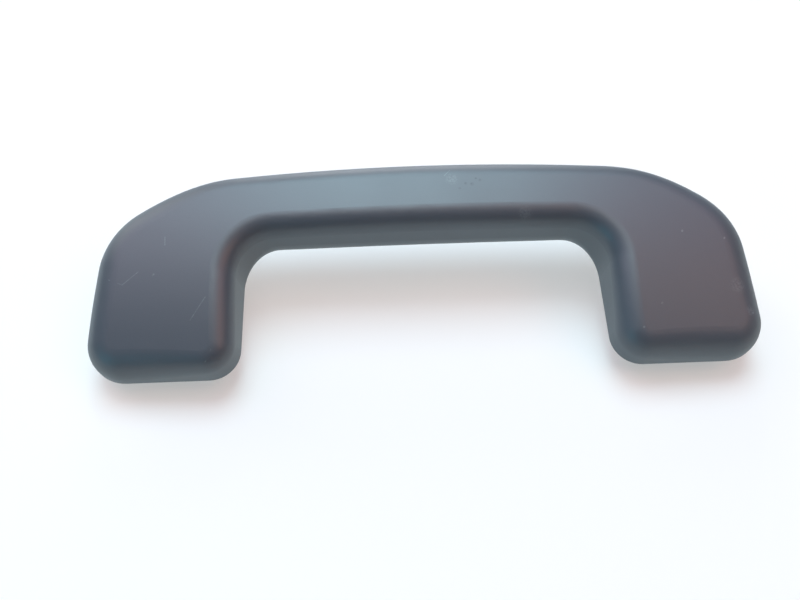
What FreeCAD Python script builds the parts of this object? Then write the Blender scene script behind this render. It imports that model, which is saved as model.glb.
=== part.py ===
import FreeCAD, Part
import math
import os
import re
import Sketcher

# A folding roof grab handle, in millimetres and degrees.
# The origin is midway between the two screw holes, on the plane that the brackets rest on.
# X runs along the handle, Y from the hinge pins to the bar, and Z out of the roof.
# The grip is drawn in its own frame, with its back lip on the XY plane, and then tilted.

SIZES = {
    # Outline of the grip, seen from the front
    "hand_gap": 123.4,
    "lobe_width": 48.6,
    "grip_height": 72.8,
    "bar_under": 44.4,
    "crown_share": 0.7,
    "shoulder_out": 19.2,
    "shoulder_drop": 4.1,
    "shoulder_bend": 66.0,
    "cheek_in": 1.2,
    "cheek_drop": 21.8,
    "cheek_bend": 28.0,
    "foot_out": 2.5,
    "outer_bend": 13.0,
    "inner_bend": 10.0,
    "root_bend": 12.0,
    "under_drop": 0.7,
    "wall_draft": 3.0,
    # Front face of the grip, crowned both ways, and its rounded edges
    "face_top": 22.4,
    "face_crest": 56.0,
    "face_arc": 188.0,
    "face_bow": 1500.0,
    "inner_round": 6.8,
    "top_round": 8.0,
    "outer_round": 11.0,
    "toe_share": 0.8,
    # Hollow lobes and the rounded back
    "wall": 2.5,
    "pocket_drop": 2.0,
    "pocket_bend": 10.0,
    "pocket_round": 5.0,
    "back_round": 9.5,
    "lip_round": 1.3,
    # Lie of the grip over its brackets
    "grip_tilt": 13.0,
    "skirt_lift": 5.5,
    "skirt_back": 32.0,
    # Hinges
    "bracket_width": 27.0,
    "hinge_up": 10.5,
    "hinge_deep": 6.2,
    "open_angle": 95.0,
    "open_gap": 0.4,
    "ear_radius": 4.1,
    "ear_flat": 0.5,
    "ear_gap": 17.0,
    "pin_radius": 2.0,
    "pin_play": 0.05,
    "pin_bevel": 0.4,
    "pin_flats": 3.0,
    "snap_mouth": 3.4,
    "rib_thick": 4.0,
    "rib_gap": 0.5,
    "rib_lip": 1.5,
    "rib_reach": 5.0,
    "rib_corner": 3.0,
    # Bracket neck, foot and screw tray
    "neck_run": 14.8,
    "neck_under": 4.2,
    "neck_bend": 4.0,
    "web_run": 9.6,
    "tray_front": 12.6,
    "tray_height": 11.5,
    "tray_floor": 4.8,
    "tray_wall": 2.2,
    "tray_corner": 3.0,
    "foot_front": 20.0,
    "foot_corner": 3.0,
    "block_top": 15.0,
    "anchor_place": 5.0,
    "anchor_width": 2.0,
    "anchor_depth": 2.2,
    "key_height": 4.0,
    "key_gap": 0.1,
    # Screw sleeves and covers
    "sleeve_radius": 5.0,
    "sleeve_bore": 3.2,
    "sleeve_height": 5.0,
    "sleeve_bevel": 0.4,
    "cover_thick": 1.8,
    "cover_gap": 0.2,
    "cover_edge": 0.5,
    "cover_rim": 1.2,
    "cover_sink": 3.0,
    "notch_width": 8.0,
    "notch_depth": 1.6,
    # Rubber buffers and the ribs that close on them
    "stop_up": 49.8,
    "stop_deep": 1.8,
    "stop_gap": 0.3,
    "stop_width": 12.0,
    "stop_rib": 4.0,
    "buffer_depth": 4.6,
    "buffer_seat": 3.0,
    "buffer_round": 0.6,
    # Return spring
    "wire": 1.4,
    "coil_gap": 0.4,
    "coil_turns": 8.0,
    "ledge_reach": 5.0,
    "ledge_thick": 3.0,
    "ledge_gap": 0.1,
    "leg_reach": 7.6,
    # Rotary damper
    "drum_radius": 4.8,
    "drum_bore": 3.9,
    "drum_end": 1.2,
    "drum_gap": 0.3,
    "lid_play": 1.7,
    "hub_radius": 2.8,
    "hub_play": 0.5,
    "vane_gap": 0.1,
    "vane_thick": 1.6,
    "seal_gap": 0.05,
    "lid_thick": 1.4,
    "lid_plug": 0.9,
    "damper_gap": 0.2,
}

WORDS = re.compile(r"\b(" + "|".join(SIZES) + r")\b")

# Half of the grip's length and of the hand gap, and the middle of a bracket
GAP = "hand_gap / 2"
HALF = "(hand_gap / 2 + lobe_width)"
MIDDLE = "(hand_gap + lobe_width) / 2"

# The hinge axis and the meeting point of stop rib and buffer, in the handle's frame
HINGE_Y = "(hinge_up * cos(grip_tilt) - hinge_deep * sin(grip_tilt) - skirt_back)"
HINGE_Z = "(skirt_lift + hinge_up * sin(grip_tilt) + hinge_deep * cos(grip_tilt))"
STOP_Y = "(stop_up * cos(grip_tilt) - stop_deep * sin(grip_tilt) - skirt_back)"
STOP_Z = "(skirt_lift + stop_up * sin(grip_tilt) + stop_deep * cos(grip_tilt))"

# Reach of the pins past the ears, through the ribs of the grip
PIN_HALF = "(bracket_width / 2 + rib_gap + rib_thick + rib_gap)"
COIL_RADIUS = "(pin_radius + coil_gap + wire / 2)"
ANCHOR_FLOOR = f"({HINGE_Z} - {COIL_RADIUS} - wire)"
SEAL = "(drum_bore - hub_radius - 2 * seal_gap)"

# The drum fills the room between the ears of its bracket, less its gap, its lid and the lid's play
DRUM_LENGTH = "(ear_gap - drum_gap - lid_thick - lid_play)"
SIDES = {"left": "-", "right": ""}

# Shares of a straight run, and of the bar, that the roundings at their two ends may take up
RUN_FILL = 0.95
BAR_FILL = 0.67

doc = FreeCAD.newDocument("grab_handle")
sheet = doc.addObject("Spreadsheet::Sheet", "sizes")
for row, (name, number) in enumerate(SIZES.items(), start=1):
    sheet.set(f"A{row}", name)
    sheet.set(f"B{row}", str(number))
    sheet.setAlias(f"B{row}", name)
doc.recompute()


def cells(text):
    """The expression with each size name pointed at its cell."""
    return WORDS.sub(r"sizes.\g<0>", text)


def value(text):
    return float(sheet.evalExpression(cells(text)))


def link(thing, **properties):
    """Binds properties to size expressions, with a dot written as two underscores."""
    for name, text in properties.items():
        thing.setExpression(name.replace("__", "."), cells(text))


def constrain(sketch, kind, *where, text=None):
    """Adds a constraint, bound to a size expression where it has a value."""
    if text is None:
        return sketch.addConstraint(Sketcher.Constraint(kind, *where))
    index = sketch.addConstraint(Sketcher.Constraint(kind, *where, value(text)))
    sketch.setExpression(f"Constraints[{index}]", cells(text))
    return index


def pin_down(sketch, geometry, point, across, along):
    constrain(sketch, "DistanceX", -1, 1, geometry, point, text=across)
    constrain(sketch, "DistanceY", -1, 1, geometry, point, text=along)


def fitted(spots, bends):
    """The share of each bend that the straight runs on its two sides have room for."""
    reach = []
    for index, (spot, bend) in enumerate(zip(spots, bends)):
        half = (spots[index - 1] - spot).getAngle(spots[(index + 1) % len(spots)] - spot) / 2
        reach.append(bend / math.tan(half))
    room = []
    for index, spot in enumerate(spots):
        run = (spot - spots[index - 1]).Length * RUN_FILL
        room.append(run / max(run, reach[index - 1] + reach[index]))
    return [min(pair) for pair in zip(room, room[1:] + room[:1])]


def outline(sketch, corners):
    """A closed outline of straight runs, with a tangent arc at each corner that has a bend."""
    spots = [FreeCAD.Vector(value(x), value(y), 0) for x, y, bend in corners]
    shares = fitted(spots, [value(bend) for x, y, bend in corners])
    bends = [value(bend) * share for (x, y, bend), share in zip(corners, shares)]
    starts, ends, arcs = [], [], []
    for index, (spot, bend) in enumerate(zip(spots, bends)):
        back = (spots[index - 1] - spot).normalize()
        ahead = (spots[(index + 1) % len(spots)] - spot).normalize()
        half = back.getAngle(ahead) / 2
        starts.append(spot + back * (bend / math.tan(half)))
        ends.append(spot + ahead * (bend / math.tan(half)))
        centre = spot + (back + ahead).normalize() * (bend / math.sin(half))
        arcs.append((centre, back.cross(ahead).z < 0))
    lines = []
    for index in range(len(spots)):
        run = Part.LineSegment(ends[index], starts[(index + 1) % len(spots)])
        lines.append(sketch.addGeometry(run, False))
    for index, (spot, bend) in enumerate(zip(spots, bends)):
        x, y, bend_text = corners[index]
        before, after = lines[index - 1], lines[index]
        if bend == 0:
            constrain(sketch, "Coincident", before, 2, after, 1)
            pin_down(sketch, after, 1, x, y)
            continue
        centre, left_turn = arcs[index]
        first, last = (starts[index], ends[index]) if left_turn else (ends[index], starts[index])
        angles = [math.atan2(p.y - centre.y, p.x - centre.x) for p in (first, last)]
        circle = Part.Circle(centre, FreeCAD.Vector(0, 0, 1), bend)
        arc = sketch.addGeometry(Part.ArcOfCircle(circle, angles[0], angles[1]), False)
        point = sketch.addGeometry(Part.Point(spot), True)
        constrain(sketch, "Tangent", before, 2, arc, 1 if left_turn else 2)
        constrain(sketch, "Tangent", after, 1, arc, 2 if left_turn else 1)
        constrain(sketch, "PointOnObject", point, 1, before)
        constrain(sketch, "PointOnObject", point, 1, after)
        constrain(sketch, "Radius", arc, text=f"({bend_text}) * {shares[index]}")
        pin_down(sketch, point, 1, x, y)


def rectangle(sketch, left, right, low, high, bend="0"):
    outline(sketch, [(left, low, bend), (right, low, bend), (right, high, bend), (left, high, bend)])


def circle(sketch, across, along, radius):
    centre = FreeCAD.Vector(value(across), value(along), 0)
    ring = Part.Circle(centre, FreeCAD.Vector(0, 0, 1), value(radius))
    index = sketch.addGeometry(ring, False)
    constrain(sketch, "Radius", index, text=radius)
    pin_down(sketch, index, 3, across, along)


def free_sketch(name, side_view=False):
    """A sketch of its own, seen from the front, or from the side with Y across and Z up."""
    sketch = doc.addObject("Sketcher::SketchObject", name)
    if side_view:
        axes = (FreeCAD.Vector(0, 1, 0), FreeCAD.Vector(0, 0, 1), FreeCAD.Vector(1, 0, 0))
        sketch.Placement = FreeCAD.Placement(FreeCAD.Vector(), FreeCAD.Rotation(*axes, "ZXY"))
    return sketch


def body_sketch(body, role, name, height=None):
    """A sketch on one of the body's own planes, or raised over it."""
    sketch = body.newObject("Sketcher::SketchObject", name)
    plane = [feature for feature in body.Origin.OriginFeatures if feature.Role == role][0]
    sketch.AttachmentSupport = [(plane, "")]
    sketch.MapMode = "FlatFace"
    if height is not None:
        link(sketch, AttachmentOffset__Base__z=height)
    return sketch


def pad(body, sketch, name, length, symmetric=False):
    feature = body.newObject("PartDesign::Pad", name)
    feature.Profile = sketch
    feature.SideType = "Symmetric" if symmetric else "One side"
    link(feature, Length=length)
    return feature


def pocket(body, sketch, name, length, symmetric=False):
    """A pocket that runs from its sketch the way that the sketch faces."""
    feature = body.newObject("PartDesign::Pocket", name)
    feature.Profile = sketch
    feature.SideType = "Symmetric" if symmetric else "One side"
    feature.Reversed = True
    link(feature, Length=length)
    return feature


def extrusion(name, sketch, direction, length, taper=None, symmetric=False):
    solid = doc.addObject("Part::Extrusion", name)
    solid.Base = sketch
    solid.DirMode = "Custom"
    solid.Dir = direction
    solid.Solid = True
    solid.Symmetric = symmetric
    link(solid, LengthFwd=length)
    if taper is not None:
        link(solid, TaperAngle=taper)
    return solid


def box(name, low, high):
    """A box between two corners, each given as three size expressions."""
    solid = doc.addObject("Part::Box", name)
    spans = [f"({end}) - ({start})" for start, end in zip(low, high)]
    link(solid, Length=spans[0], Width=spans[1], Height=spans[2])
    link(solid, Placement__Base__x=low[0], Placement__Base__y=low[1], Placement__Base__z=low[2])
    return solid


def rod(name, radius, start, length, along, up):
    """A cylinder along X, placed by the expressions of its centre line."""
    solid = doc.addObject("Part::Cylinder", name)
    solid.Placement.Rotation = FreeCAD.Rotation(FreeCAD.Vector(0, 1, 0), 90)
    link(solid, Radius=radius, Height=length)
    link(solid, Placement__Base__x=start, Placement__Base__y=along, Placement__Base__z=up)
    return solid


def cut(name, base, tool):
    result = doc.addObject("Part::Cut", name)
    result.Base = base
    result.Tool = tool
    return result


def common(name, base, tool):
    result = doc.addObject("Part::Common", name)
    result.Base = base
    result.Tool = tool
    return result


def fuse(name, *shapes):
    result = doc.addObject("Part::MultiFuse", name)
    result.Shapes = list(shapes)
    result.Refine = True
    return result


def rounded(name, base, chosen):
    """Fillets of a solid, given as (edge, radius at its start, radius at its end)."""
    result = doc.addObject("Part::Fillet", name)
    result.Base = base
    numbers = []
    for edge, first, last in chosen:
        index = [other.isSame(edge) for other in base.Shape.Edges].index(True)
        numbers.append((index + 1, first, last))
    result.Edges = numbers
    doc.recompute()
    return result


def grip_corners():
    """Corners of the grip's outline, from the crown of the bar round to the hand gap and back."""
    crown = f"crown_share * ({GAP} + shoulder_out) ^ 2 / shoulder_drop"
    under = f"crown_share * ({GAP}) ^ 2 / under_drop"
    right = [
        (f"{GAP} + shoulder_out", "grip_height - shoulder_drop", "shoulder_bend"),
        (f"{HALF} - cheek_in", "grip_height - cheek_drop", "cheek_bend"),
        (f"{HALF} + foot_out", "0", "outer_bend"),
        (GAP, "0", "inner_bend"),
        (GAP, "bar_under - under_drop", "root_bend"),
    ]
    left = [(f"-({x})", y, bend) for x, y, bend in reversed(right)]
    return [("0", "grip_height", crown)] + right + [("0", "bar_under", under)] + left


def face_relief(name, inset):
    """Everything in front of the grip's face: a side profile turned about a far axis."""
    profile = free_sketch(name + "_profile", side_view=True)
    reach = ["-face_top", "grip_height + face_top"]
    centre = FreeCAD.Vector(value("face_crest"), value("face_top - face_arc"), 0)
    radius = value(f"face_arc - {inset}")
    ends = []
    for text in reach:
        across = value(text) - centre.x
        ends.append(FreeCAD.Vector(value(text), centre.y + math.sqrt(radius**2 - across**2), 0))
    angles = [math.atan2(end.y - centre.y, end.x - centre.x) for end in ends]
    crest = Part.Circle(centre, FreeCAD.Vector(0, 0, 1), radius)
    arc = profile.addGeometry(Part.ArcOfCircle(crest, angles[1], angles[0]), False)
    top = value("face_top * 2")
    corners = [ends[1], FreeCAD.Vector(ends[1].x, top, 0), FreeCAD.Vector(ends[0].x, top, 0), ends[0]]
    runs = [profile.addGeometry(Part.LineSegment(a, b), False) for a, b in zip(corners, corners[1:])]
    constrain(profile, "Coincident", arc, 1, runs[0], 1)
    constrain(profile, "Coincident", runs[0], 2, runs[1], 1)
    constrain(profile, "Coincident", runs[1], 2, runs[2], 1)
    constrain(profile, "Coincident", runs[2], 2, arc, 2)
    constrain(profile, "Vertical", runs[0])
    constrain(profile, "Vertical", runs[2])
    constrain(profile, "Radius", arc, text=f"face_arc - {inset}")
    pin_down(profile, arc, 3, "face_crest", "face_top - face_arc")
    pin_down(profile, runs[1], 1, reach[1], "face_top * 2")
    pin_down(profile, runs[1], 2, reach[0], "face_top * 2")
    relief = doc.addObject("Part::Revolution", name)
    relief.Source = profile
    relief.Axis = FreeCAD.Vector(0, 1, 0)
    relief.Symmetric = True
    relief.Solid = True
    link(relief, Base__z="face_top - face_bow", Angle=f"4 * asin({HALF} / face_bow)")
    return relief


def front_rim(solid):
    """The edges round the crowned front face."""
    face = max(solid.Shape.Faces, key=lambda item: item.Area * ("Toroid" in item.Surface.TypeId))
    return face.Edges


def bar_room(rounds, height="0"):
    """The share of the roundings along the bar's two long edges that the bar has room for."""
    bar = value(f"grip_height - bar_under - 2 * {height} * tan(wall_draft)")
    return min(1, BAR_FILL * bar / value(rounds))


def back_radius(point):
    """The fillet of the back: full where the fingers close, fading to a small lip at the lobes."""
    under = point.y < value("bar_under + root_bend / 2")
    fade = value("root_bend" if under else "2 * root_bend + shoulder_out")
    share = min(1, max(0, (abs(point.x) - value(f"{GAP} - root_bend")) / fade))
    full = bar_room("2 * back_round") * value("back_round")
    return full + (value("lip_round") - full) * share


def graded(name, base, edges, radius):
    """Fillets round a closed loop of edges, with a radius that changes from place to place."""
    waiting = list(edges)
    edge = waiting.pop(0)
    here, ahead = edge.valueAt(edge.FirstParameter), edge.valueAt(edge.LastParameter)
    chosen = [(edge, radius(here), radius(ahead))]
    while waiting:
        here = ahead
        edge = min(waiting, key=lambda item: min((v.Point - here).Length for v in item.Vertexes))
        waiting.remove(edge)
        ends = sorted([v.Point for v in edge.Vertexes], key=lambda point: (point - here).Length)
        ahead = ends[1]
        chosen.append((edge, radius(here), radius(ahead)))
    return rounded(name, base, chosen)


def rim_radius(point):
    """The fillet of the grip's rim: tight along the bar and hand gap, soft round the lobes."""
    x, y = abs(point.x), point.y
    room = bar_room("top_round + inner_round", "face_top")
    over_gap = y > value("bar_under + root_bend / 2")
    if over_gap and x < value(f"{GAP} + shoulder_out"):
        return room * value("top_round")
    if y < value("outer_bend / 2"):
        inner_toe = x < value(f"{GAP} + inner_bend * 1.5")
        return value("toe_share * inner_bend" if inner_toe else "toe_share * outer_bend")
    if not over_gap and x < value(f"{GAP} + wall * 2"):
        return room * value("inner_round")
    if y < value("outer_bend * 1.5"):
        return value("min(outer_round; toe_share * outer_bend)")
    return value("outer_round")


def grip_form():
    """The whole outer form of the grip: a drafted outline under a crowned face."""
    profile = free_sketch("grip_outline")
    outline(profile, grip_corners())
    up = FreeCAD.Vector(0, 0, 1)
    blank = extrusion("grip_blank", profile, up, "face_top * 1.5", taper="-wall_draft")
    faced = cut("grip_faced", blank, face_relief("grip_relief", "0"))
    doc.recompute()
    front = graded("grip_front", faced, front_rim(faced), rim_radius)
    back = []
    for edge in front.Shape.Edges:
        places = [edge.FirstParameter, (edge.FirstParameter + edge.LastParameter) / 2, edge.LastParameter]
        if all(abs(edge.valueAt(place).z) < 0.001 for place in places):
            back.append(edge)
    return graded("grip_form", front, back, back_radius)


def lobe_pockets():
    """The hollows of the lobes, one wall inside the outer form and open at the back."""
    slope = "atan((cheek_drop - shoulder_drop) / (lobe_width - cheek_in - shoulder_out))"
    top = "grip_height - shoulder_drop - wall - pocket_drop"
    cheek = f"grip_height - cheek_drop + wall * (tan({slope}) - 1 / cos({slope}))"
    profile = free_sketch("pocket_outline")
    outline(profile, [
        (f"{GAP} + wall", top, "inner_round"),
        (f"{GAP} + shoulder_out - wall * tan({slope} / 2)", top, "pocket_bend"),
        (f"{HALF} - cheek_in - wall", cheek, "cheek_bend - wall"),
        (f"{HALF} + foot_out - wall", "wall", "outer_bend - wall"),
        (f"{GAP} + wall", "wall", "inner_bend - wall"),
    ])
    up = FreeCAD.Vector(0, 0, 1)
    blank = extrusion("pocket_blank", profile, up, "face_top * 1.5", taper="-wall_draft")
    faced = cut("pocket_faced", blank, face_relief("pocket_relief", "wall"))
    doc.recompute()
    bend = value("pocket_round")
    right = rounded("right_pocket", faced, [(edge, bend, bend) for edge in front_rim(faced)])
    left = doc.addObject("Part::Mirroring", "left_pocket")
    left.Source = right
    left.Normal = FreeCAD.Vector(1, 0, 0)
    return fuse("pockets", right, left)


def pin_rib(name, middle):
    """A rib that carries a pin, and joins the foot of the lobe to its front."""
    profile = free_sketch(name + "_profile", side_view=True)
    high = "hinge_up + rib_reach"
    outline(profile, [
        ("0", "rib_lip", "0"),
        (high, "rib_lip", "rib_corner"),
        (high, "face_top", "0"),
        ("0", "face_top", "0"),
    ])
    rib = extrusion(name, profile, FreeCAD.Vector(1, 0, 0), "rib_thick", symmetric=True)
    link(rib, Placement__Base__x=middle)
    return rib


def grip_ribs(form):
    """Everything that stands in the pockets, kept inside the outer form."""
    ribs = []
    for side, sign in SIDES.items():
        place = f"{sign}{MIDDLE}"
        for end, step in (("outer", "+"), ("inner", "-")):
            middle = f"{place} {step} (bracket_width / 2 + rib_gap + rib_thick / 2)"
            ribs.append(pin_rib(f"{side}_{end}_pin_rib", middle))
        low = [f"{place} - stop_width / 2", "stop_up - stop_rib / 2", "stop_deep"]
        high = [f"{place} + stop_width / 2", "stop_up + stop_rib / 2", "face_top"]
        ribs.append(box(f"{side}_stop_rib", low, high))
    ledge = f"(-{MIDDLE} + anchor_place)"
    under = f"hinge_deep - {COIL_RADIUS} + wire / 2 + ledge_gap"
    low = [f"{ledge} - ledge_thick / 2", "wall / 2", under]
    high = [f"{ledge} + ledge_thick / 2", "ledge_reach", "face_top"]
    ribs.append(box("spring_ledge", low, high))
    return common("grip_ribs", form, fuse("rib_blanks", *ribs))


def pin_seats():
    """Holes for the pins, open to the back through mouths that snap shut behind the pins."""
    seats = []
    for side, sign in SIDES.items():
        start, end = f"{sign}{MIDDLE} - {PIN_HALF}", f"{sign}{MIDDLE} + {PIN_HALF}"
        bore = rod(f"{side}_seat_bore", "pin_radius", start, f"2 * {PIN_HALF}", "hinge_up", "hinge_deep")
        low = [start, "hinge_up - snap_mouth / 2", "0"]
        high = [end, "hinge_up + snap_mouth / 2", "hinge_deep"]
        seats += [bore, box(f"{side}_seat_mouth", low, high)]
    return fuse("pin_seats", *seats)


def grip():
    """The one moulding that the hand holds."""
    form = grip_form()
    hollow = cut("hollow_grip", form, lobe_pockets())
    ribbed = fuse("ribbed_grip", hollow, grip_ribs(form))
    whole = cut("whole_grip", ribbed, pin_seats())
    whole.Placement.Rotation = FreeCAD.Rotation(FreeCAD.Vector(1, 0, 0), value("grip_tilt"))
    link(whole, Placement__Rotation__Angle="grip_tilt")
    link(whole, Placement__Base__y="-skirt_back", Placement__Base__z="skirt_lift")
    return whole


def bracket(name, sign):
    """A moulded foot with a screw tray, and a neck that carries two ears for the pin."""
    body = doc.addObject("PartDesign::Body", name + "_body")
    ear_back, neck_front = f"{HINGE_Y} - ear_radius", f"{HINGE_Y} + neck_run"
    ear_top, ear_low = f"{HINGE_Z} + ear_radius", f"{HINGE_Z} - ear_radius"
    side = body_sketch(body, "YZ_Plane", name + "_side")
    outline(side, [
        (ear_back, ear_top, "ear_radius - ear_flat"),
        (ear_back, ear_low, "ear_radius - ear_flat"),
        (f"{HINGE_Y} + {heel('neck_under')}", f"{HINGE_Z} - neck_under", "0"),
        (f"{HINGE_Y} + {heel(HINGE_Z)}", "0", "0"),
        ("foot_front", "0", "0"),
        ("foot_front", "block_top", "0"),
        ("tray_front", "block_top", "0"),
        ("tray_front", "tray_height", "0"),
        (neck_front, "tray_height", "0"),
        (neck_front, ear_top, "neck_bend"),
    ])
    pad(body, side, name + "_block", "bracket_width", symmetric=True)
    doc.recompute()

    gap = body_sketch(body, "XY_Plane", name + "_ear_gap")
    low = f"{HINGE_Y} - 2 * ear_radius"
    rectangle(gap, "-ear_gap / 2", "ear_gap / 2", low, f"{HINGE_Y} + web_run")
    pocket(body, gap, name + "_ears", f"{HINGE_Z} * 2")

    inside = "(bracket_width / 2 - tray_wall)"
    tray = body_sketch(body, "XY_Plane", name + "_tray_outline", height="tray_floor")
    rectangle(tray, f"-{inside}", inside, neck_front, "tray_front", "tray_corner")
    pocket(body, tray, name + "_tray", "tray_height * 2")

    hole = body_sketch(body, "XY_Plane", name + "_sleeve_circle")
    circle(hole, "0", "0", "sleeve_radius")
    pocket(body, hole, name + "_sleeve_hole", "tray_floor * 2")

    bore = body_sketch(body, "YZ_Plane", name + "_pin_circle")
    circle(bore, HINGE_Y, HINGE_Z, "pin_radius + pin_play")
    pocket(body, bore, name + "_pin_bore", "bracket_width * 2", symmetric=True)

    seat = body_sketch(body, "XY_Plane", name + "_buffer_outline", height="block_top - buffer_seat")
    near, far = f"{STOP_Y} - buffer_depth / 2", f"{STOP_Y} + buffer_depth / 2"
    rectangle(seat, "-stop_width / 2", "stop_width / 2", near, far)
    pocket(body, seat, name + "_buffer_seat", "block_top")

    slot = body_sketch(body, "XY_Plane", name + "_anchor_outline", height=ANCHOR_FLOOR)
    left, right = "-anchor_place - anchor_width / 2", "-anchor_place + anchor_width / 2"
    rectangle(slot, left, right, f"{HINGE_Y} + web_run / 2", f"{HINGE_Y} + web_run + anchor_depth")
    pocket(body, slot, name + "_anchor_slot", "block_top")
    doc.recompute()

    block, corners = body.Tip, []
    for number, edge in enumerate(block.Shape.Edges, start=1):
        spots = [vertex.Point for vertex in edge.Vertexes]
        outside = all(abs(spot.x) > value("bracket_width / 2") - 0.001 for spot in spots)
        in_front = all(spot.y > value("foot_front") - 0.001 for spot in spots)
        if outside and in_front and len(spots) == 2 and spots[0].x * spots[1].x > 0:
            corners.append(f"Edge{number}")
    fillet = body.newObject("PartDesign::Fillet", name + "_foot_corners")
    fillet.Base = (block, corners)
    link(fillet, Radius="foot_corner")
    link(body, Placement__Base__x=f"{sign}{MIDDLE}")
    return body


def heel(drop):
    """Where the open grip's lip stops against the neck, at a depth under the hinge axis."""
    lean = "(open_angle + grip_tilt - 90)"
    return f"(hinge_deep + open_gap + {drop} * sin{lean}) / cos{lean}"


def pin(name, sign, flat):
    """A steel hinge pin with bevelled ends; the right one has flats that turn the damper."""
    half = f"({PIN_HALF} - rib_gap)"
    steel = rod(name + "_rod", "pin_radius", f"-{half}", f"2 * {half}", HINGE_Y, HINGE_Z)
    doc.recompute()
    last = doc.addObject("Part::Chamfer", name + "_bevelled")
    last.Base = steel
    size = value("pin_bevel")
    rims = [n for n, edge in enumerate(steel.Shape.Edges, start=1) if "Circle" in edge.Curve.TypeId]
    last.Edges = [(number, size, size) for number in rims]
    if flat:
        reach = "pin_radius * 2"
        for label, low, high in (("upper", "pin_flats / 2", reach), ("lower", f"-{reach}", "-pin_flats / 2")):
            start = [drum_at("drum_end"), f"{HINGE_Y} - {reach}", f"{HINGE_Z} + {low}"]
            end = [f"{half} + pin_radius", f"{HINGE_Y} + {reach}", f"{HINGE_Z} + {high}"]
            last = cut(f"{name}_{label}_flat", last, box(f"{name}_{label}_slab", start, end))
    link(last, Placement__Base__x=f"{sign}{MIDDLE}")
    return last


def turned(name, corners):
    """A piece turned about the X axis, from a profile of places and radii."""
    body = doc.addObject("PartDesign::Body", name + "_body")
    sketch = body_sketch(body, "XY_Plane", name + "_profile")
    outline(sketch, [(x, radius, "0") for x, radius in corners])
    turn = body.newObject("PartDesign::Revolution", name + "_turn")
    turn.Profile = sketch
    turn.ReferenceAxis = (sketch, ["H_Axis"])
    turn.Angle = 360
    return body


def on_hinge(solid, sign):
    """Puts a piece that is drawn round the X axis on the hinge axis of one side."""
    link(solid, Placement__Base__x=f"{sign}{MIDDLE}")
    link(solid, Placement__Base__y=HINGE_Y, Placement__Base__z=HINGE_Z)
    return solid


def leg(name, length, angle):
    """A straight spring leg that leaves the coil under the hinge axis."""
    wire = doc.addObject("Part::Cylinder", name)
    wire.Placement.Rotation = FreeCAD.Rotation(FreeCAD.Vector(1, 0, 0), value(angle))
    link(wire, Radius="wire / 2", Height=length, Placement__Rotation__Angle=angle)
    return wire


def return_spring():
    """A torsion spring round the left pin: one leg in the bracket, one under the grip's ledge."""
    start, end = "(-coil_turns * wire / 2)", "(coil_turns * wire / 2)"
    inner, groove = f"({COIL_RADIUS} - wire / 2)", f"({COIL_RADIUS} + wire / 4)"
    corners = [(start, inner), (start, groove)]
    for turn in range(round(value("coil_turns"))):
        corners.append((f"{start} + ({turn} + 0.5) * wire", f"({COIL_RADIUS} + wire / 2)"))
        corners.append((f"{start} + ({turn} + 1) * wire", groove))
    coil = turned("spring_coil", corners + [(end, inner)])
    fixed = leg("spring_fixed_leg", "web_run + anchor_depth - wire / 2", "-90")
    link(fixed, Placement__Base__x="-anchor_place", Placement__Base__z=f"-{COIL_RADIUS}")
    free = leg("spring_free_leg", "leg_reach", "grip_tilt + 90")
    link(free, Placement__Base__x="anchor_place", Placement__Base__y=f"{COIL_RADIUS} * sin(grip_tilt)")
    link(free, Placement__Base__z=f"-{COIL_RADIUS} * cos(grip_tilt)")
    return on_hinge(fuse("spring_wire", coil, fixed, free), "-")


def drum_at(step):
    """A place along the damper, counted from the closed end of its drum."""
    return f"(drum_gap - ear_gap / 2 + {step})"


def damper_housing():
    """The damper's drum, with a key that sits in the bracket's slot."""
    drum = turned("damper_drum", [
        (drum_at("0"), "pin_radius + damper_gap"),
        (drum_at("drum_end"), "pin_radius + damper_gap"),
        (drum_at("drum_end"), "drum_bore"),
        (drum_at(DRUM_LENGTH), "drum_bore"),
        (drum_at(DRUM_LENGTH), "drum_radius"),
        (drum_at("0"), "drum_radius"),
    ])
    half = "(anchor_width / 2 - key_gap)"
    low = [f"-anchor_place - {half}", "(drum_bore + drum_radius) / 2", "-key_height / 2"]
    high = [f"-anchor_place + {half}", "web_run + anchor_depth - key_gap", "key_height / 2"]
    return on_hinge(fuse("damper_shell", drum, box("damper_key", low, high)), "")


def damper_rotor():
    """A hub with two vanes, bored to fit the flats of the pin."""
    vane_end = drum_at(f"{DRUM_LENGTH} - lid_plug - {SEAL} - 2 * damper_gap")
    hub_start = drum_at("drum_end + damper_gap")
    hub = rod("rotor_hub", "hub_radius", hub_start, f"ear_gap / 2 - hub_play - {hub_start}", "0", "0")
    reach = "(drum_bore - vane_gap)"
    vanes = box("rotor_vanes", [hub_start, f"-{reach}", "-vane_thick / 2"], [vane_end, reach, "vane_thick / 2"])
    swept = rod("rotor_sweep", reach, hub_start, f"ear_gap / 2 - hub_play - {hub_start}", "0", "0")
    solid = common("rotor_solid", fuse("rotor_blank", hub, vanes), swept)
    bore = rod("rotor_bore", "pin_radius", f"{hub_start} - damper_gap", f"{DRUM_LENGTH} * 2", "0", "0")
    low = [f"{hub_start} - damper_gap", "-pin_radius * 2", "-pin_flats / 2"]
    slab = box("rotor_slab", low, [f"{DRUM_LENGTH} * 2", "pin_radius * 2", "pin_flats / 2"])
    return on_hinge(cut("rotor", solid, common("rotor_keyway", bore, slab)), "")


def damper_seal():
    """A rubber ring between the hub and the drum that keeps the grease in."""
    ring = doc.addObject("Part::Torus", "seal_ring")
    ring.Placement.Rotation = FreeCAD.Rotation(FreeCAD.Vector(0, 1, 0), 90)
    link(ring, Radius1="(hub_radius + drum_bore) / 2", Radius2=f"{SEAL} / 2")
    on_hinge(ring, "")
    place = drum_at(f"{DRUM_LENGTH} - lid_plug - damper_gap - {SEAL} / 2")
    link(ring, Placement__Base__x=f"{MIDDLE} + {place}")
    return ring


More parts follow.
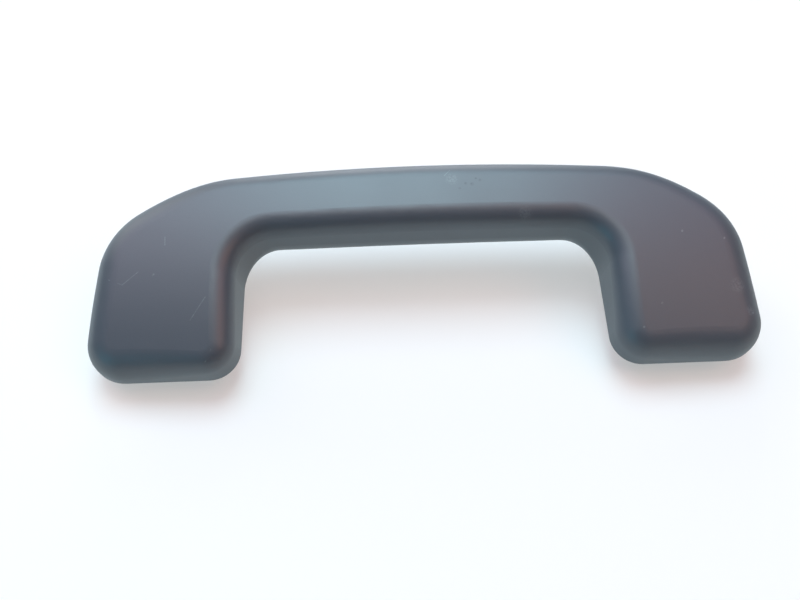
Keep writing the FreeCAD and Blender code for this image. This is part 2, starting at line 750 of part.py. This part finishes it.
def damper_cap():
    """The lid of the drum, with a short plug that holds the seal in."""
    return on_hinge(turned("damper_lid", [
        (drum_at(f"{DRUM_LENGTH} - lid_plug"), "hub_radius + pin_play"),
        (drum_at(f"{DRUM_LENGTH} + lid_thick"), "hub_radius + pin_play"),
        (drum_at(f"{DRUM_LENGTH} + lid_thick"), "drum_radius"),
        (drum_at(DRUM_LENGTH), "drum_radius"),
        (drum_at(DRUM_LENGTH), "drum_bore"),
        (drum_at(f"{DRUM_LENGTH} - lid_plug"), "drum_bore"),
    ]), "")


def screw_sleeve(name, sign):
    """A steel sleeve that takes the screw's clamp load, bevelled at both ends."""
    tube = turned(name, [
        ("0", "sleeve_bore"),
        ("0", "sleeve_radius - sleeve_bevel"),
        ("sleeve_bevel", "sleeve_radius"),
        ("sleeve_height - sleeve_bevel", "sleeve_radius"),
        ("sleeve_height", "sleeve_radius - sleeve_bevel"),
        ("sleeve_height", "sleeve_bore"),
    ])
    tube.Placement.Rotation = FreeCAD.Rotation(FreeCAD.Vector(0, 1, 0), -90)
    link(tube, Placement__Base__x=f"{sign}{MIDDLE}")
    return tube


def screw_cover(name, sign):
    """A snap-in lid over the screw tray, with a thumb notch at its front edge."""
    body = doc.addObject("PartDesign::Body", name + "_body")
    half = "(bracket_width / 2 - cover_edge)"
    near, far = f"{HINGE_Y} + neck_run + cover_gap", "tray_front - cover_gap"
    plate = body_sketch(body, "XY_Plane", name + "_plate_outline", height="tray_height")
    rectangle(plate, f"-{half}", half, near, far, "tray_corner")
    lid = pad(body, plate, name + "_plate", "cover_thick")
    lid.SideType = "One side"

    inside = "(bracket_width / 2 - tray_wall - cover_gap)"
    low, high = f"{HINGE_Y} + neck_run + cover_gap", "tray_front - cover_gap"
    plug = body_sketch(body, "XY_Plane", name + "_plug_outline", height="tray_height - cover_sink")
    rectangle(plug, f"-{inside}", inside, low, high, "tray_corner")
    rim = pad(body, plug, name + "_plug", "cover_sink")
    rim.SideType = "One side"
    hollow = body_sketch(body, "XY_Plane", name + "_hollow_outline", height="tray_height - cover_sink")
    rectangle(hollow, f"-{inside} + cover_rim", f"{inside} - cover_rim", f"{low} + cover_rim",
              f"{high} - cover_rim", "tray_corner - cover_rim")
    pocket(body, hollow, name + "_hollow", "cover_sink")

    notch = body_sketch(body, "XY_Plane", name + "_notch_outline", height="tray_height + cover_thick / 2")
    rectangle(notch, "-notch_width / 2", "notch_width / 2", f"{far} - notch_depth", f"{far} + notch_depth")
    pocket(body, notch, name + "_notch", "cover_thick")
    doc.recompute()
    link(body, Placement__Base__x=f"{sign}{MIDDLE}")
    return body


def stop_buffer(name, sign):
    """A rubber block that sits in the bracket and takes the closing grip on its sloped top."""
    profile = free_sketch(name + "_profile", side_view=True)
    near, far = f"{STOP_Y} - buffer_depth / 2", f"{STOP_Y} + buffer_depth / 2"
    low = "block_top - buffer_seat"
    top = f"{STOP_Z} - stop_gap / cos(grip_tilt)"
    rise = "buffer_depth / 2 * tan(grip_tilt)"
    outline(profile, [
        (near, low, "0"),
        (far, low, "0"),
        (far, f"{top} + {rise}", "buffer_round"),
        (near, f"{top} - {rise}", "buffer_round"),
    ])
    block = extrusion(name + "_block", profile, FreeCAD.Vector(1, 0, 0), "stop_width", symmetric=True)
    link(block, Placement__Base__x=f"{sign}{MIDDLE}")
    return block


# Each sub-part under the name that its file takes
pieces = {"grip": grip()}
for side, sign in SIDES.items():
    pieces[f"{side}_hinge_bracket"] = bracket(f"{side}_bracket", sign)
    pieces[f"{side}_hinge_pin"] = pin(f"{side}_pin", sign, flat=side == "right")
    pieces[f"{side}_screw_sleeve"] = screw_sleeve(f"{side}_sleeve", sign)
    pieces[f"{side}_screw_cover"] = screw_cover(f"{side}_cover", sign)
    pieces[f"{side}_stop_buffer"] = stop_buffer(f"{side}_buffer", sign)
pieces["return_spring"] = return_spring()
pieces["damper_housing"] = damper_housing()
pieces["damper_rotor"] = damper_rotor()
pieces["damper_seal"] = damper_seal()
pieces["damper_cap"] = damper_cap()
for label, piece in pieces.items():
    piece.Label = label
doc.recompute()

for thing in doc.Objects:
    if "Invalid" in thing.State or "Error" in thing.State:
        raise RuntimeError(f"{thing.Label} didn't build: {thing.State}")
for label, piece in pieces.items():
    if piece.Shape.isNull() or not piece.Shape.isValid():
        raise RuntimeError(f"{label} has no valid shape")
    print(label, len(piece.Shape.Solids), round(piece.Shape.Volume, 1))

os.makedirs("parts", exist_ok=True)
for label, piece in pieces.items():
    piece.Shape.exportStep(f"parts/{label}.step")
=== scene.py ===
"""The looks of a folding roof grab handle: grip, brackets, return spring and rotary damper."""

import math

import bpy
from mathutils import Matrix, Vector


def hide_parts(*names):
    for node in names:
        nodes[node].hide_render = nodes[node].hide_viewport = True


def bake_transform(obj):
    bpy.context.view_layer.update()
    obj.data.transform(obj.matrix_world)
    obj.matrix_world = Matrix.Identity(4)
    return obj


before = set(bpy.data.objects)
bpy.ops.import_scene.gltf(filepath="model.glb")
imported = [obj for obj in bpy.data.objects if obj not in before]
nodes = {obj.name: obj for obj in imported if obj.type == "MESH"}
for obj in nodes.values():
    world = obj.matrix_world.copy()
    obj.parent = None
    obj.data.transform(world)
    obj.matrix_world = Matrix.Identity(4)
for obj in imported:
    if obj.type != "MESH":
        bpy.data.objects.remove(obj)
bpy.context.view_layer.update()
scene = bpy.context.scene
scene.view_settings.view_transform = "Standard"

# The camera: a short lens held close above the hand side of the grip, rolled a little so that
# the right end stands higher in the picture.
CAMERA_PLACE = Vector((-0.01056, -0.15023, 0.20578))
CAMERA_DOWN = 53.34
CAMERA_TURN = 1.02
CAMERA_ROLL = -1.30
FOCAL_PIXELS = 698.0
PICTURE_WIDTH = 800.0
SENSOR = 36.0
CLIP_START = 0.01

lens = bpy.data.cameras.new("picture_camera")
lens.sensor_width = SENSOR
lens.lens = FOCAL_PIXELS * SENSOR / PICTURE_WIDTH
lens.clip_start = CLIP_START
camera = bpy.data.objects.new("picture_camera", lens)
camera.matrix_world = (
    Matrix.Translation(CAMERA_PLACE)
    @ Matrix.Rotation(math.radians(-CAMERA_TURN), 4, "Z")
    @ Matrix.Rotation(math.radians(90 - CAMERA_DOWN), 4, "X")
    @ Matrix.Rotation(math.radians(CAMERA_ROLL), 4, "Z")
)
scene.collection.objects.link(camera)
scene.camera = camera

# The light: round soft panels far off, most of it from one behind the grip, high up, and one
# low behind it. The camera's own side of the room stays dark, so the front edges read dark.
# Each lamp: degrees from overhead, degrees round from +X, and how bright it looks.
LAMP_DISTANCE = 2.5
LAMP_RADIUS = 0.80
LAMPS = {
    "high_back_lamp": (25, 90, (4.7, 7.2, 8.1)),
    "low_back_lamp": (75, 90, (3.0, 3.1, 3.2)),
    "left_low_back_lamp": (65, 135, (2.0, 2.0, 1.9)),
    "left_back_lamp": (35, 150, (1.8, 1.4, 1.8)),
    "right_back_lamp": (35, 30, (0.8, 0.2, 0.4)),
    "overhead_lamp": (0, 0, (1.7, 1.5, 1.4)),
    "warm_right_lamp": (42, -18, (1.9, 0.9, 0.5)),
    "cool_left_lamp": (73, -140, (0.1, 0.9, 1.2)),
}
for name, (from_top, from_x, look) in LAMPS.items():
    tilt, turn = math.radians(from_top), math.radians(from_x)
    flat = Vector((math.cos(turn), math.sin(turn), 0))
    towards = math.sin(tilt) * flat + Vector((0, 0, math.cos(tilt)))
    lamp = bpy.data.lights.new(name, "AREA")
    lamp.shape = "DISK"
    lamp.size = 2 * LAMP_RADIUS
    lamp.energy = max(look) * math.pi * math.pi * LAMP_RADIUS**2
    lamp.color = [part / max(look) for part in look]
    panel = bpy.data.objects.new(name, lamp)
    panel.location = LAMP_DISTANCE * towards
    panel.rotation_euler = (-towards).to_track_quat("-Z", "Y").to_euler()
    scene.collection.objects.link(panel)

# The floor: plain white board under the handle. It looks white to the eye and in reflections,
# and keeps the handle's shadow.
FLOOR_SIDE = 3.2
FLOOR_WHITE = (0.93, 0.93, 0.93, 1.0)
FLOOR_GLOW = 0.42
FLOOR_MIRRORED = 0.85
PURE_WHITE = (1.0, 1.0, 1.0, 1.0)
COOL_WHITE = (0.84, 0.98, 1.0, 1.0)


class Flow:
    """A socket of a material's nodes, with arithmetic that adds the nodes for it."""

    def __init__(self, tree, socket=None):
        self.tree = tree
        self.socket = socket

    def node(self, kind, settings=None, out=0, **inputs):
        """A new node: its settings first, then the values or links of its sockets."""
        new = self.tree.nodes.new(kind)
        for key, value in (settings or {}).items():
            setattr(new, key, value)
        for key, value in inputs.items():
            socket = new.inputs[int(key[1:]) if key[1:].isdigit() else key.replace("_", " ")]
            if isinstance(value, Flow):
                self.tree.links.new(value.socket, socket)
            else:
                socket.default_value = value
        return Flow(self.tree, new.outputs[out])

    def output(self, name):
        """Another output of this socket's node, by name."""
        return Flow(self.tree, self.socket.node.outputs[name])

    def maths(self, operation, *values):
        sockets = {f"i{number}": value for number, value in enumerate(values)}
        return self.node("ShaderNodeMath", {"operation": operation}, **sockets)

    def vector(self, operation, *values, out=0):
        sockets = {f"i{number}": value for number, value in enumerate(values)}
        return self.node("ShaderNodeVectorMath", {"operation": operation}, out, **sockets)

    def __add__(self, other):
        return self.maths("ADD", self, other)

    def __radd__(self, other):
        return self.maths("ADD", other, self)

    def __sub__(self, other):
        return self.maths("SUBTRACT", self, other)

    def __mul__(self, other):
        return self.maths("MULTIPLY", self, other)

    def ramp(self, low, high, first=0.0, last=1.0):
        """This value taken from low..high to first..last, smoothly."""
        kind = {"interpolation_type": "SMOOTHSTEP"}
        ends = {"i1": low, "i2": high, "i3": first, "i4": last}
        return self.node("ShaderNodeMapRange", kind, i0=self, **ends)

    def noise(self, scale, detail=2.0, roughness=0.5):
        """Cloudy noise at this place: scale in spots a metre, then its layers and their depth."""
        layers = {"Scale": scale, "Detail": detail, "Roughness": roughness}
        return self.node("ShaderNodeTexNoise", i0=self, **layers)

    def spread(self, first, last):
        """Noise, which lies mostly between 0.3 and 0.7, taken to first..last."""
        return self.ramp(0.3, 0.7, first, last)

    def lines(self, spots, detail):
        """Noise with its own number of spots a metre along each axis, for streaks and lines."""
        return self.vector("MULTIPLY", self, spots).noise(1.0, detail)

    def between(self, first, second):
        """A colour between two colours, by this value."""
        return self.node("ShaderNodeMix", {"data_type": "RGBA"}, 2, i0=self, i6=first, i7=second)

    def bumps(self, strength, depth):
        """A surface that this value raises, by up to a depth in metres."""
        return self.node("ShaderNodeBump", Strength=strength, Distance=depth, Height=self)


def new_finish(name):
    """A new material, a start for its shader maths and its main shader."""
    material = bpy.data.materials.new(name)
    material.use_nodes = True
    tree = material.node_tree
    return material, Flow(tree), tree.nodes["Principled BSDF"]


def feed(shader, **values):
    """Sets sockets of a shader to numbers and colours, or links them."""
    for key, value in values.items():
        socket = shader.inputs[key.replace("_", " ")]
        if isinstance(value, Flow):
            value.tree.links.new(value.socket, socket)
        else:
            socket.default_value = value


bpy.ops.mesh.primitive_plane_add(size=FLOOR_SIDE)
floor = bpy.context.object
floor.name = "floor"
board, flow, shader = new_finish("white_board")
feed(shader, Base_Color=FLOOR_WHITE, Roughness=0.7, Specular_IOR_Level=0.2)
ray = flow.node("ShaderNodeLightPath")
to_eye = (ray.output("Is Camera Ray") + ray.output("Is Transmission Ray")) * FLOOR_GLOW
to_gloss = ray.output("Is Glossy Ray") * FLOOR_MIRRORED
lit = Flow(flow.tree, shader.outputs[0])
glow = flow.node("ShaderNodeEmission", Color=PURE_WHITE, Strength=1.0)
cool_glow = flow.node("ShaderNodeEmission", Color=COOL_WHITE, Strength=1.0)
seen = flow.node("ShaderNodeMixShader", i0=to_eye, i1=lit, i2=glow)
mirrored = flow.node("ShaderNodeMixShader", i0=to_gloss, i1=seen, i2=cool_glow)
flow.tree.links.new(mirrored.socket, flow.tree.nodes["Material Output"].inputs[0])
floor.data.materials.append(board)

# The room: white to the eye, but nearly dark in the light that it gives. Its faint grey is cool
# overhead and behind, and warm and darker on the camera's side.
ROOM_BEHIND = 0.04
ROOM_BEHIND_COLOUR = (0.88, 0.94, 1.0, 1.0)
ROOM_IN_FRONT = 0.02
ROOM_IN_FRONT_COLOUR = (1.0, 0.93, 0.88, 1.0)
room = bpy.data.worlds.new("pale_room")
room.use_nodes = True
scene.world = room
flow = Flow(room.node_tree)
way = flow.node("ShaderNodeSeparateXYZ", i0=flow.node("ShaderNodeTexCoord"))
behind = (way.output("Z") + way.output("Y") * 0.6).ramp(0.1, 0.8)
back = flow.node("ShaderNodeBackground", Color=ROOM_BEHIND_COLOUR, Strength=ROOM_BEHIND)
front = flow.node("ShaderNodeBackground", Color=ROOM_IN_FRONT_COLOUR, Strength=ROOM_IN_FRONT)
faint = flow.node("ShaderNodeMixShader", i0=behind, i1=front, i2=back)
white = flow.node("ShaderNodeBackground", Color=PURE_WHITE, Strength=1.0)
eye = flow.node("ShaderNodeLightPath").output("Is Camera Ray")
to_both = flow.node("ShaderNodeMixShader", i0=eye, i1=faint, i2=white)
flow.tree.links.new(to_both.socket, flow.tree.nodes["World Output"].inputs[0])


# Two hinge brackets, moulded in black glass-filled nylon. The glass shows as a faint mottle,
# and the flow of the melt as long soft streaks. Each is held to the roof by one screw.
NYLON = ((0.036, 0.036, 0.040, 1.0), (0.058, 0.058, 0.062, 1.0))
NYLON_ROUGHNESS = (0.42, 0.56)
MELT_STREAKS = (60.0, 260.0, 60.0)


def dress(material, *names):
    """Gives a finish to CAD pieces by name."""
    for name in names:
        nodes[name].data.materials.clear()
        nodes[name].data.materials.append(material)


def start(name):
    """A new finish with the place on the piece, in metres, as its start."""
    material, flow, shader = new_finish(name)
    return material, flow.node("ShaderNodeTexCoord").output("Object"), shader


nylon, place, shader = start("bracket_nylon")
mottle = place.noise(420.0, 3.0, 0.6)
streaks = place.lines(MELT_STREAKS, 2.0)
skin = place.noise(2400.0, 2.0)
feed(shader, Base_Color=(mottle * 0.6 + streaks * 0.4).between(*NYLON))
feed(shader, Roughness=mottle.spread(*NYLON_ROUGHNESS))
feed(shader, Normal=(skin + mottle * 0.6).bumps(0.25, 0.0001))
dress(nylon, "left_hinge_bracket", "right_hinge_bracket")

# Two sleeves of zinc-plated steel that keep the screws from crushing the brackets. The plating
# has a faint yellow and blue bloom over turning marks.
ZINC = ((0.62, 0.58, 0.44, 1.0), (0.60, 0.62, 0.64, 1.0))
ZINC_ROUGHNESS = (0.28, 0.44)
TURNING_MARKS = (120.0, 120.0, 6000.0)
plated, place, shader = start("sleeve_zinc")
bloom = place.noise(260.0, 2.0, 0.6)
turning = place.lines(TURNING_MARKS, 1.0)
feed(shader, Base_Color=bloom.ramp(0.35, 0.65).between(*ZINC), Metallic=1.0)
feed(shader, Roughness=turning.spread(*ZINC_ROUGHNESS), Normal=turning.bumps(0.15, 0.00005))
dress(plated, "left_screw_sleeve", "right_screw_sleeve")

# Two snap covers over the screw heads, moulded in the grip's charcoal plastic with a fine
# grain, and two buffers of soft black rubber that the closed grip rests on.
COVER_CHARCOAL = ((0.082, 0.090, 0.104, 1.0), (0.108, 0.117, 0.132, 1.0))
COVER_ROUGHNESS = (0.48, 0.58)
RUBBER = ((0.030, 0.030, 0.031, 1.0), (0.055, 0.054, 0.054, 1.0))
RUBBER_ROUGHNESS = (0.72, 0.88)
cover, place, shader = start("cover_charcoal")
grain = place.noise(2200.0, 2.0)
cloud = place.noise(60.0, 3.0)
feed(shader, Base_Color=cloud.between(*COVER_CHARCOAL))
feed(shader, Roughness=cloud.spread(*COVER_ROUGHNESS), Normal=grain.bumps(0.2, 0.00012))
dress(cover, "left_screw_cover", "right_screw_cover")

rubber, place, shader = start("buffer_rubber")
bloom = place.noise(300.0, 3.0, 0.6)
feed(shader, Base_Color=bloom.between(*RUBBER), Roughness=bloom.spread(*RUBBER_ROUGHNESS))
feed(shader, Normal=place.noise(1800.0, 2.0).bumps(0.2, 0.0001), Specular_IOR_Level=0.3)
dress(rubber, "left_stop_buffer", "right_stop_buffer")

# Two hinge pins of drawn steel, with the die's fine lines along them. The right one has flats
# that turn the damper's rotor.
STEEL = ((0.50, 0.51, 0.52, 1.0), (0.62, 0.62, 0.63, 1.0))
STEEL_ROUGHNESS = (0.22, 0.38)
DIE_LINES = (30.0, 3200.0, 3200.0)
drawn, place, shader = start("pin_steel")
lines = place.lines(DIE_LINES, 2.0)
feed(shader, Base_Color=lines.between(*STEEL), Metallic=1.0)
feed(shader, Roughness=lines.spread(*STEEL_ROUGHNESS), Normal=lines.bumps(0.12, 0.00004))
dress(drawn, "left_hinge_pin", "right_hinge_pin")

# The return spring: 1.4 mm oiled steel wire, close-coiled round the left pin. One leg lies in
# the bracket's slot and the other presses up under a ledge of the grip.
WIRE = 0.0014
COIL_MIDDLE = (-0.086, -0.023164, 0.013903)
COIL_RADIUS = 0.0031
COIL_REACH = 0.005
FREE_LEG_TILT = 13.0
WHOLE_TURNS = 7
FIXED_LEG = 0.0111
FREE_LEG = 0.0076
TURN_STEPS = 28
WIRE_SIDES = 12
WIRE_BEVEL = 0.00015
OILED = ((0.30, 0.30, 0.32, 1.0), (0.46, 0.46, 0.47, 1.0))
OILED_ROUGHNESS = (0.24, 0.42)

lean = math.radians(FREE_LEG_TILT)
winding = 2 * math.pi * WHOLE_TURNS - lean
steps = round(winding / (2 * math.pi) * TURN_STEPS)
path = [(-COIL_REACH, FIXED_LEG, -COIL_RADIUS), (-COIL_REACH, WIRE_BEVEL, -COIL_RADIUS)]
for step in range(steps + 1):
    done = step / steps
    angle = -winding * done
    across = COIL_REACH * (2 * done - 1)
    path.append((across, COIL_RADIUS * math.sin(angle), -COIL_RADIUS * math.cos(angle)))
path.append(Vector(path[-1]) + FREE_LEG * Vector((0, -math.cos(lean), -math.sin(lean))))
path = [Vector(COIL_MIDDLE) + Vector(point) for point in path]
verts, faces = [], []
for index, point in enumerate(path):
    before, after = path[max(index - 1, 0)], path[min(index + 1, len(path) - 1)]
    along = (after - before).normalized()
    side = along.cross(Vector((1, 0, 0))).normalized()
    up = side.cross(along).normalized()
    for corner in range(WIRE_SIDES):
        turn = 2 * math.pi * corner / WIRE_SIDES
        verts.append(point + WIRE / 2 * (side * math.cos(turn) + up * math.sin(turn)))
for ring in range(len(path) - 1):
    for corner in range(WIRE_SIDES):
        far = (corner + 1) % WIRE_SIDES
        low, high = ring * WIRE_SIDES, (ring + 1) * WIRE_SIDES
        faces.append((low + corner, high + corner, high + far, low + far))
faces.append(tuple(range(WIRE_SIDES)))
faces.append(tuple(reversed(range(len(verts) - WIRE_SIDES, len(verts)))))
wire_mesh = bpy.data.meshes.new("spring_wire")
wire_mesh.from_pydata(verts, [], faces)
wire_mesh.polygons.foreach_set("use_smooth", [len(face) == 4 for face in faces])
wire = bpy.data.objects.new("spring_wire", wire_mesh)
scene.collection.objects.link(wire)
oiled, place, shader = start("spring_steel")
film = place.noise(350.0, 3.0, 0.6)
drawing = place.noise(2600.0, 2.0)
feed(shader, Base_Color=(film * 0.7 + drawing * 0.3).between(*OILED), Metallic=1.0)
feed(shader, Roughness=film.spread(*OILED_ROUGHNESS), Normal=drawing.bumps(0.1, 0.00004))
wire_mesh.materials.append(oiled)
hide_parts("return_spring")
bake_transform(wire)

# The rotary damper: a drum and snap cap in black acetal, a rotor in natural acetal that the
# right pin turns, and a greased rubber ring that keeps the silicone grease in.
BLACK_ACETAL = ((0.050, 0.050, 0.054, 1.0), (0.070, 0.070, 0.076, 1.0))
NATURAL_ACETAL = ((0.74, 0.73, 0.68, 1.0), (0.82, 0.81, 0.77, 1.0))
SEAL_BLACK = ((0.022, 0.022, 0.022, 1.0), (0.040, 0.040, 0.041, 1.0))
for name, colours, roughness, pieces in (
    ("damper_acetal", BLACK_ACETAL, (0.28, 0.38), ("damper_housing", "damper_cap")),
    ("rotor_acetal", NATURAL_ACETAL, (0.24, 0.34), ("damper_rotor",)),
    ("seal_rubber", SEAL_BLACK, (0.22, 0.55), ("damper_seal",)),
):
    moulded, place, shader = start(name)
    cloud = place.noise(240.0, 3.0, 0.6)
    fine = place.noise(2800.0, 2.0)
    feed(shader, Base_Color=(cloud * 0.7 + fine * 0.3).between(*colours))
    feed(shader, Roughness=cloud.spread(*roughness), Normal=fine.bumps(0.12, 0.00005))
    dress(moulded, *pieces)

# The grip: one moulding in charcoal plastic with a soft-touch skin, spark-eroded to a fine even
# grain. Hands and luggage have left a few pale scratches and rubbed spots, and small dents whose
# shade is painted in as dark spots. Each scratch has two ends and a width, and each dent or haze
# a middle and a radius.
CHARCOAL = ((0.074, 0.087, 0.107, 1.0), (0.086, 0.100, 0.122, 1.0))
SHEEN = 0.84
SCRATCHES = (
    ((-0.1029, -0.0059, 0.0287), (-0.0979, -0.0082, 0.0286), 0.00018),
    ((-0.0979, -0.0082, 0.0286), (-0.0929, -0.0044, 0.0304), 0.00018),
    ((-0.0752, -0.0204, 0.0247), (-0.0705, -0.0138, 0.0279), 0.00020),
    ((-0.0846, 0.0039, 0.0337), (-0.0848, 0.0066, 0.0346), 0.00022),
    ((-0.0705, -0.0320, 0.0179), (-0.0685, -0.0290, 0.0205), 0.00022),
    ((0.0085, 0.0240, 0.0412), (0.0105, 0.0262, 0.0414), 0.00022),
    ((-0.0879, -0.0058, 0.0302), (-0.0877, -0.0056, 0.0303), 0.00040),
    ((0.0858, 0.0023, 0.0332), (0.0860, 0.0025, 0.0333), 0.00045),
    ((0.0997, 0.0000, 0.0315), (0.0999, 0.0002, 0.0315), 0.00040),
    ((0.0757, -0.0205, 0.0246), (0.0759, -0.0203, 0.0247), 0.00040),
    ((0.0690, -0.0274, 0.0215), (0.0692, -0.0272, 0.0215), 0.00040),
    ((0.1058, -0.0229, 0.0206), (0.1060, -0.0227, 0.0206), 0.00055),
)
# Middles and radii of the dents, whose shade is painted on as dark spots.
DENT_SHADE_SPOTS = (
    ((0.0134, 0.0189, 0.0401), 0.0006),
    ((0.0155, 0.0206, 0.0405), 0.0007),
    ((0.0176, 0.0203, 0.0404), 0.0009),
    ((0.0190, 0.0225, 0.0409), 0.0006),
    ((0.0204, 0.0218, 0.0407), 0.0007),
)
HAZES = (
    ((0.0345, 0.0098, 0.0365), 0.0032),
    ((0.1017, -0.0150, 0.0254), 0.0034),
    ((0.1052, -0.0225, 0.0212), 0.0024),
    ((0.0110, 0.0225, 0.0410), 0.0030),
)
SCRATCH_PALE = (0.20, 0.22, 0.24, 1.0)
# The dark of the dents is painted shade, not a colour of the plastic.
DENT_PAINTED_SHADE = (0.030, 0.036, 0.044, 1.0)


def strongest(marks):
    """The strongest of several marks, at each place."""
    found = marks[0]
    for mark in marks[1:]:
        found = found.maths("MAXIMUM", found, mark)
    return found


def stroke(place, one_end, other_end, width):
    """1 along a line between two points, fading to 0 at its edge."""
    run = Vector(other_end) - Vector(one_end)
    reach = place.vector("SUBTRACT", place, one_end)
    share = place.vector("DOT_PRODUCT", reach, tuple(run / run.length_squared), out=1)
    held = place.node("ShaderNodeClamp", i0=share)
    scaling = {"operation": "SCALE"}
    nearest = place.node("ShaderNodeVectorMath", scaling, i0=tuple(run), Scale=held)
    return place.vector("DISTANCE", reach, nearest, out=1).ramp(width * 0.4, width, 1.0, 0.0)


def spot(place, middle, radius):
    """1 in the middle of a mark, fading to 0 at its edge."""
    away = place.vector("DISTANCE", place, middle, out=1)
    return away.ramp(radius * 0.3, radius, 1.0, 0.0)


grip_skin, place, shader = start("soft_touch_charcoal")
ragged = place.noise(1500.0, 2.0).ramp(0.35, 0.65)
scratched = strongest([stroke(place, *mark) for mark in SCRATCHES]) * (0.25 + ragged * 0.5)
# Painted shade: dark spots where the dents would hold shade.
dent_painted_shade = strongest([spot(place, *mark) for mark in DENT_SHADE_SPOTS]) * (0.30 + ragged * 0.60)
hazed = strongest([spot(place, *mark) for mark in HAZES]) * ragged * 0.35
cloud = place.noise(26.0, 3.0)
rubbed = place.noise(11.0, 2.0).ramp(0.42, 0.62)
speck = place.noise(900.0, 2.0, 0.6)
grain = place.noise(2600.0, 2.0)
plain = (cloud * 0.7 + speck * 0.3).between(*CHARCOAL)
worn = strongest([scratched, hazed]).between(plain, SCRATCH_PALE)
# The base colour darkens at the dents: painted shade.
feed(shader, Base_Color=dent_painted_shade.between(worn, DENT_PAINTED_SHADE))
feed(shader, Roughness=0.41 + rubbed * 0.04 + speck * 0.06, Specular_IOR_Level=SHEEN)
feed(shader, Normal=(grain + speck * 0.5 - scratched * 0.6).bumps(0.16, 0.00012))
dress(grip_skin, "grip")
